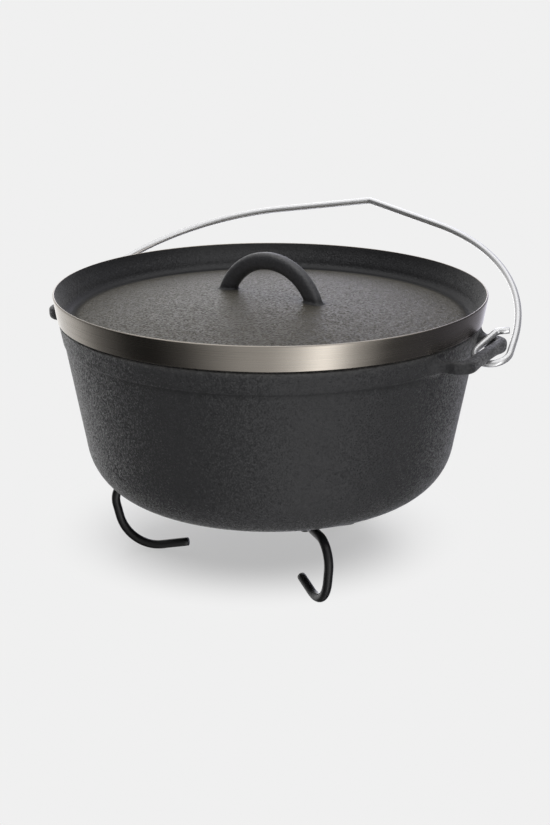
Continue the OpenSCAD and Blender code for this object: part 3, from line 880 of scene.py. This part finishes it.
class OVEN_OT_cast_lid(bpy.types.Operator):
    """Casts the lid with its arched handle, and turns its band"""
    bl_idname = "oven.cast_lid"
    bl_label = "Cast the lid"

    def execute(self, context):
        s, f = context.scene.oven_lid, context.scene.oven_finish
        lift = np.array([0, 0, s.seat_z + s.seat])
        path, slots, tone = lid_profile(s)
        sectors = 320
        tone = tone[:, None] * foot_shade(s, path, sectors)
        body = skin(lathe(path, sectors) + lift, v=run_of(path), tone=tone, slots=slots)
        grip, wear = grip_grid(s)
        # The handle's tone: painted shade at its root on the floor, and painted light on the arch
        # above, at 2.3 times the iron's colour
        over_floor = grip[..., 2] - s.dome + s.band
        tone = np.interp(over_floor, [-0.001, 0.004], [0.6, 2.3])
        handle = skin(turned(grip, s.turn) + lift, wear=wear, tone=tone,
                      slots=np.full(len(grip), DARK_IRON))
        iron = cast_iron("lid_iron", f.lid_iron, f.iron_worn, grain=0.0013, relief=0.6,
                         hollows=0.6, rough=0.40, tilt=0.5, mirror=0.3, haze=0.12)
        dark = cast_iron("grip_iron", f.iron, f.iron_worn, grain=0.0010, relief=0.25,
                         hollows=0.85, rough=0.42, tilt=0.20)
        machined = machined_iron("machined_iron", f.machined)
        lid = put("lid_casting", [body, handle], [iron, machined, dark])
        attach(lid, "lid")
        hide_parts("lid")
        return {"FINISHED"}


class OVEN_OT_bend_bail(bpy.types.Operator):
    """Bends the bail from one wire, hooked at both ends"""
    bl_idname = "oven.bend_bail"
    bl_label = "Bend the bail"

    def execute(self, context):
        s, f = context.scene.oven_wire, context.scene.oven_finish
        drop = (s.peak_bend * (1 - math.cos(s.peak_slope)) + s.bail_run * math.sin(s.peak_slope)
                + s.shoulder * (math.cos(s.peak_slope) - math.cos(s.arm_slope))
                + s.bail_arm * math.sin(s.arm_slope))
        half, heads = bend_wire([
            (0, math.pi, s.peak_bend, s.peak_slope),
            (s.bail_run, 0, s.shoulder, s.arm_slope - s.peak_slope),
            (s.bail_arm, 0, s.hook, 2 * math.pi - s.arm_slope - s.hook_slope),
            (s.hook_rise, 0, s.tip_bend, s.hook_slope - s.tip_slope),
            (s.tip, 0, 0, 0),
        ], 0.0016)
        half[:, 1] += drop - s.hook_below
        points = np.vstack([half[:0:-1] * [-1, 1, 1], half])
        heads = np.vstack([heads[:0:-1] * [1, -1, -1], heads])
        tip_up = about_x(math.pi / 2 - s.lean)
        points = points @ tip_up + [0, s.back, s.bail_z]
        wire = wire_skin(points, heads @ tip_up, tip_up[2], s.bail / 2)
        bail = put("bail_wire", [wire], [bright_wire("bright_steel", f.steel)])
        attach(bail, "bail")
        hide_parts("bail")
        bail.visible_glossy = False
        return {"FINISHED"}


class OVEN_OT_bend_legs(bpy.types.Operator):
    """Bends the three folding legs, one wire each"""
    bl_idname = "oven.bend_legs"
    bl_label = "Bend the legs"

    def execute(self, context):
        s, f = context.scene.oven_wire, context.scene.oven_finish
        pot = context.scene.oven_pot
        arm_end = s.leg_reach - s.knee
        tail = (pot.arm_drop - s.stop_gap - s.leg / 2 * math.cos(s.over)) / math.sin(s.over)
        toe_start = (arm_end + s.knee * math.cos(s.splay) - s.shank * math.sin(s.splay)
                     - s.foot * math.cos(s.splay) - s.foot * math.sin(s.foot_rise))
        points, heads = bend_wire([
            (tail - s.tail_bend, 0, s.tail_bend, math.pi / 2),
            (arm_end - s.tail - s.tail_bend, -math.pi / 2, s.knee, math.pi / 2 + s.splay),
            (s.shank, 0, s.foot, math.pi / 2 - s.splay + s.foot_rise),
            ((toe_start - s.toe) / math.cos(s.foot_rise), 0, 0, 0),
        ], 0.0014)
        points, heads = turned(points, -math.pi / 2), turned(heads, -math.pi / 2)
        points = points + [s.tail, tail, 0]
        lean = about_x(s.over)
        points, heads = points @ lean, heads @ lean
        coat = black_coat("black_coat", f.coat)
        for k, body in enumerate(("leg_rear", "leg_left", "leg_front")):
            turn = pot.leg_first + k * 2 * math.pi / 3
            wire = wire_skin(turned(points, turn) + [0, 0, pot.arm_z],
                             turned(heads, turn), np.array([0.5, 0.7, 0.5]), s.leg / 2)
            leg = put(body + "_wire", [wire], [coat])
            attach(leg, body)
            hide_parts(body)
        return {"FINISHED"}


# Stage

CAMERA_SPOT = Vector((0.573418, -1.115750, 0.506871))
CAMERA_AIM = Vector((-0.435867, 0.848106, -0.301223))
PHOTO_WIDE, PHOTO_HIGH = 550, 825
FOCAL_PIXELS = 1826.4
MIDDLE_X = 270.40

# Brightness of the studio round the object: degrees to the right of the camera, and level
STUDIO = [(-180, 3.4), (-166, 1.4), (-150, 0.95), (-132, 0.74), (-110, 0.22), (-86, 0.022),
          (-66, 0.015), (-48, 0.08), (-32, 0.28), (-16, 0.49), (0, 0.54), (16, 1.02), (30, 2.25),
          (46, 0.62), (66, 0.065), (102, 0.065), (126, 0.12), (150, 0.30), (166, 1.1), (180, 3.4)]
# Panels past this angle are bluer by this factor
COOL_FROM, COOL = 100, 1.16
# Levels of the even ceiling, and of the shaded part low behind the object
CEILING, SHADED = 0.9, 0.08


def place_camera(scene):
    """A camera at the viewing angle, with the lens that its focal length in pixels gives."""
    lens = bpy.data.cameras.new("camera")
    lens.sensor_width = 36.0
    lens.lens = FOCAL_PIXELS / PHOTO_HIGH * lens.sensor_width
    lens.shift_x = (PHOTO_WIDE / 2 - MIDDLE_X) / PHOTO_HIGH
    camera = bpy.data.objects.new("camera", lens)
    scene.collection.objects.link(camera)
    camera.matrix_world = (Matrix.Translation(CAMERA_SPOT)
                           @ CAMERA_AIM.to_track_quat("-Z", "Y").to_matrix().to_4x4())
    scene.camera = camera


def studio_world(scene, colour):
    """A pale backdrop for the camera. Other rays see a ring of soft panels, brighter behind
    the object and to the front right and fading upwards, under an even ceiling; low behind
    the object, where its own shadow lies, they see next to nothing."""
    t = Tree(bpy.data.worlds.new("studio"))
    front = math.atan2(-CAMERA_AIM.y, -CAMERA_AIM.x)
    ray = t.add("ShaderNodeMapping", {
        "Vector": t.coordinates["Generated"], "Rotation": (0, 0, -front)}, vector_type="POINT")
    ray = t.add("ShaderNodeSeparateXYZ", {0: ray.outputs[0]}).outputs
    around = t.fit(t.maths("ARCTAN2", ray["Y"], ray["X"]), -math.pi, math.pi)
    panels = t.add("ShaderNodeValToRGB", {"Fac": around})
    ramp = panels.color_ramp.elements
    peak = max(level for _, level in STUDIO)
    while len(ramp) < len(STUDIO):
        ramp.new(0.5)
    for element, (degrees, level) in zip(ramp, STUDIO):
        level /= peak
        element.position = (degrees + 180) / 360
        element.color = (level, level, level * (COOL if degrees > COOL_FROM else 1), 1)
    light = t.scale(panels.outputs["Color"], t.fit(ray["Z"], -0.05, 0.25, 1.0, 0.52))
    overhead = t.fit(ray["Z"], 0.55, 0.85, curve="SMOOTHSTEP")
    light = t.mix(overhead, light, (*[CEILING / peak] * 3, 1))
    clear = t.maths("MAXIMUM", t.fit(ray["Z"], -0.66, -0.46), t.fit(ray["X"], -0.30, 0.05))
    light = t.mix(clear, (*[SHADED / peak] * 3, 1), light)
    studio = t.add("ShaderNodeBackground", {"Color": light, "Strength": peak})
    backdrop = t.add("ShaderNodeBackground", {"Color": (*colour, 1)})
    seen = t.add("ShaderNodeLightPath").outputs["Is Camera Ray"]
    choose = t.add("ShaderNodeMixShader", {0: seen, 1: studio.outputs[0], 2: backdrop.outputs[0]})
    scene.world = t.finish(choose.outputs[0], "ShaderNodeOutputWorld")


def pale_floor(scene, colour):
    """A pale matt floor that keeps the object's shadow, lightened by painted light, and fades into
    the backdrop.
    """
    t = new_finish("pale_floor")
    matt = t.add("ShaderNodeBsdfDiffuse", {"Color": (0.88, 0.88, 0.88, 1)})
    glow = t.add("ShaderNodeEmission", {"Color": (*colour, 1), "Strength": 1.0})
    # Painted light: for the camera the floor glows with the backdrop's colour by a share that grows
    # with the distance from a fixed point under the object, half near it, which lifts its shadow,
    # and whole past 0.168 m
    far = t.add("ShaderNodeVectorMath", {0: t.place, 1: (-0.04, 0.055, 0.0)},
                operation="DISTANCE").outputs["Value"]
    far = t.fit(far, 0.078, 0.168, 0.50, 1.0, curve="SMOOTHSTEP")
    seen = t.add("ShaderNodeLightPath").outputs["Is Camera Ray"]
    surface = t.add("ShaderNodeMixShader", {0: t.maths("MULTIPLY", far, seen),
                                            1: matt.outputs[0], 2: glow.outputs[0]})
    half, squares = 12, 8
    side = np.linspace(-half, half, squares + 1)
    x, y = np.meshgrid(side, side, indexing="ij")
    co = np.stack([x, y, np.zeros_like(x)], -1).reshape(-1, 3)
    i, j = np.meshgrid(np.arange(squares), np.arange(squares), indexing="ij")
    a = (i * (squares + 1) + j).ravel()
    b = a + squares + 1
    mesh = bpy.data.meshes.new("floor")
    mesh.from_pydata(co, [], np.stack([a, b, b + 1, a + 1], 1).tolist())
    mesh.materials.append(t.finish(surface.outputs[0]))
    floor = bpy.data.objects.new("floor", mesh)
    scene.collection.objects.link(floor)
    floor.visible_glossy = False


def soft_lamp(scene, name, spot, aim, size, power):
    """A square soft panel at a spot, turned to what it lights."""
    lamp = bpy.data.lights.new(name, "AREA")
    lamp.shape, lamp.size, lamp.energy = "SQUARE", size, power
    obj = bpy.data.objects.new(name, lamp)
    scene.collection.objects.link(obj)
    obj.location = spot
    obj.rotation_mode = "QUATERNION"
    obj.rotation_quaternion = (Vector(aim) - Vector(spot)).to_track_quat("-Z", "Y")
    obj.visible_glossy = False


class OVEN_OT_set_stage(bpy.types.Operator):
    """Sets the camera, the studio's light and the pale floor"""
    bl_idname = "oven.set_stage"
    bl_label = "Set the stage"

    def execute(self, context):
        scene, f = context.scene, context.scene.oven_finish
        scene.view_settings.view_transform = "Standard"
        place_camera(scene)
        studio_world(scene, f.backdrop)
        pale_floor(scene, f.backdrop)
        soft_lamp(scene, "ceiling_panel", (0.15, 0.2, 2.6), (0, 0, 0.1), 2.4, 58.0)
        return {"FINISHED"}


class OVEN_PT_sidebar(bpy.types.Panel):
    """Lists the steps that build the oven"""
    bl_label = "Dutch oven"
    bl_idname = "OVEN_PT_sidebar"
    bl_space_type = "VIEW_3D"
    bl_region_type = "UI"
    bl_category = "Dutch oven"

    def draw(self, context):
        for step in STEPS:
            self.layout.operator(step.bl_idname)
        for group in ("oven_pot", "oven_lid", "oven_wire", "oven_finish"):
            values = getattr(context.scene, group)
            box = self.layout.box()
            for name in values.bl_rna.properties.keys():
                if name not in ("rna_type", "name"):
                    box.prop(values, name)


STEPS = (OVEN_OT_set_stage, OVEN_OT_cast_pot, OVEN_OT_cast_lid, OVEN_OT_bend_bail,
         OVEN_OT_bend_legs)
GROUPS = {"oven_pot": OvenPotSizes, "oven_lid": OvenLidSizes, "oven_wire": OvenWireSizes,
          "oven_finish": OvenFinishes}


def register():
    """Registers the groups, the steps and the panel."""
    for name, group in GROUPS.items():
        bpy.utils.register_class(group)
        setattr(bpy.types.Scene, name, PointerProperty(type=group))
    for step in (*STEPS, OVEN_PT_sidebar):
        bpy.utils.register_class(step)


def unregister():
    """Takes them away again, in the opposite order."""
    for step in reversed((*STEPS, OVEN_PT_sidebar)):
        bpy.utils.unregister_class(step)
    for name, group in reversed(GROUPS.items()):
        delattr(bpy.types.Scene, name)
        bpy.utils.unregister_class(group)


def main():
    """Builds the whole scene in order."""
    register()
    bpy.ops.oven.set_stage()
    bpy.ops.oven.cast_pot()
    bpy.ops.oven.cast_lid()
    bpy.ops.oven.bend_bail()
    bpy.ops.oven.bend_legs()


if __name__ == "__main__":
    main()
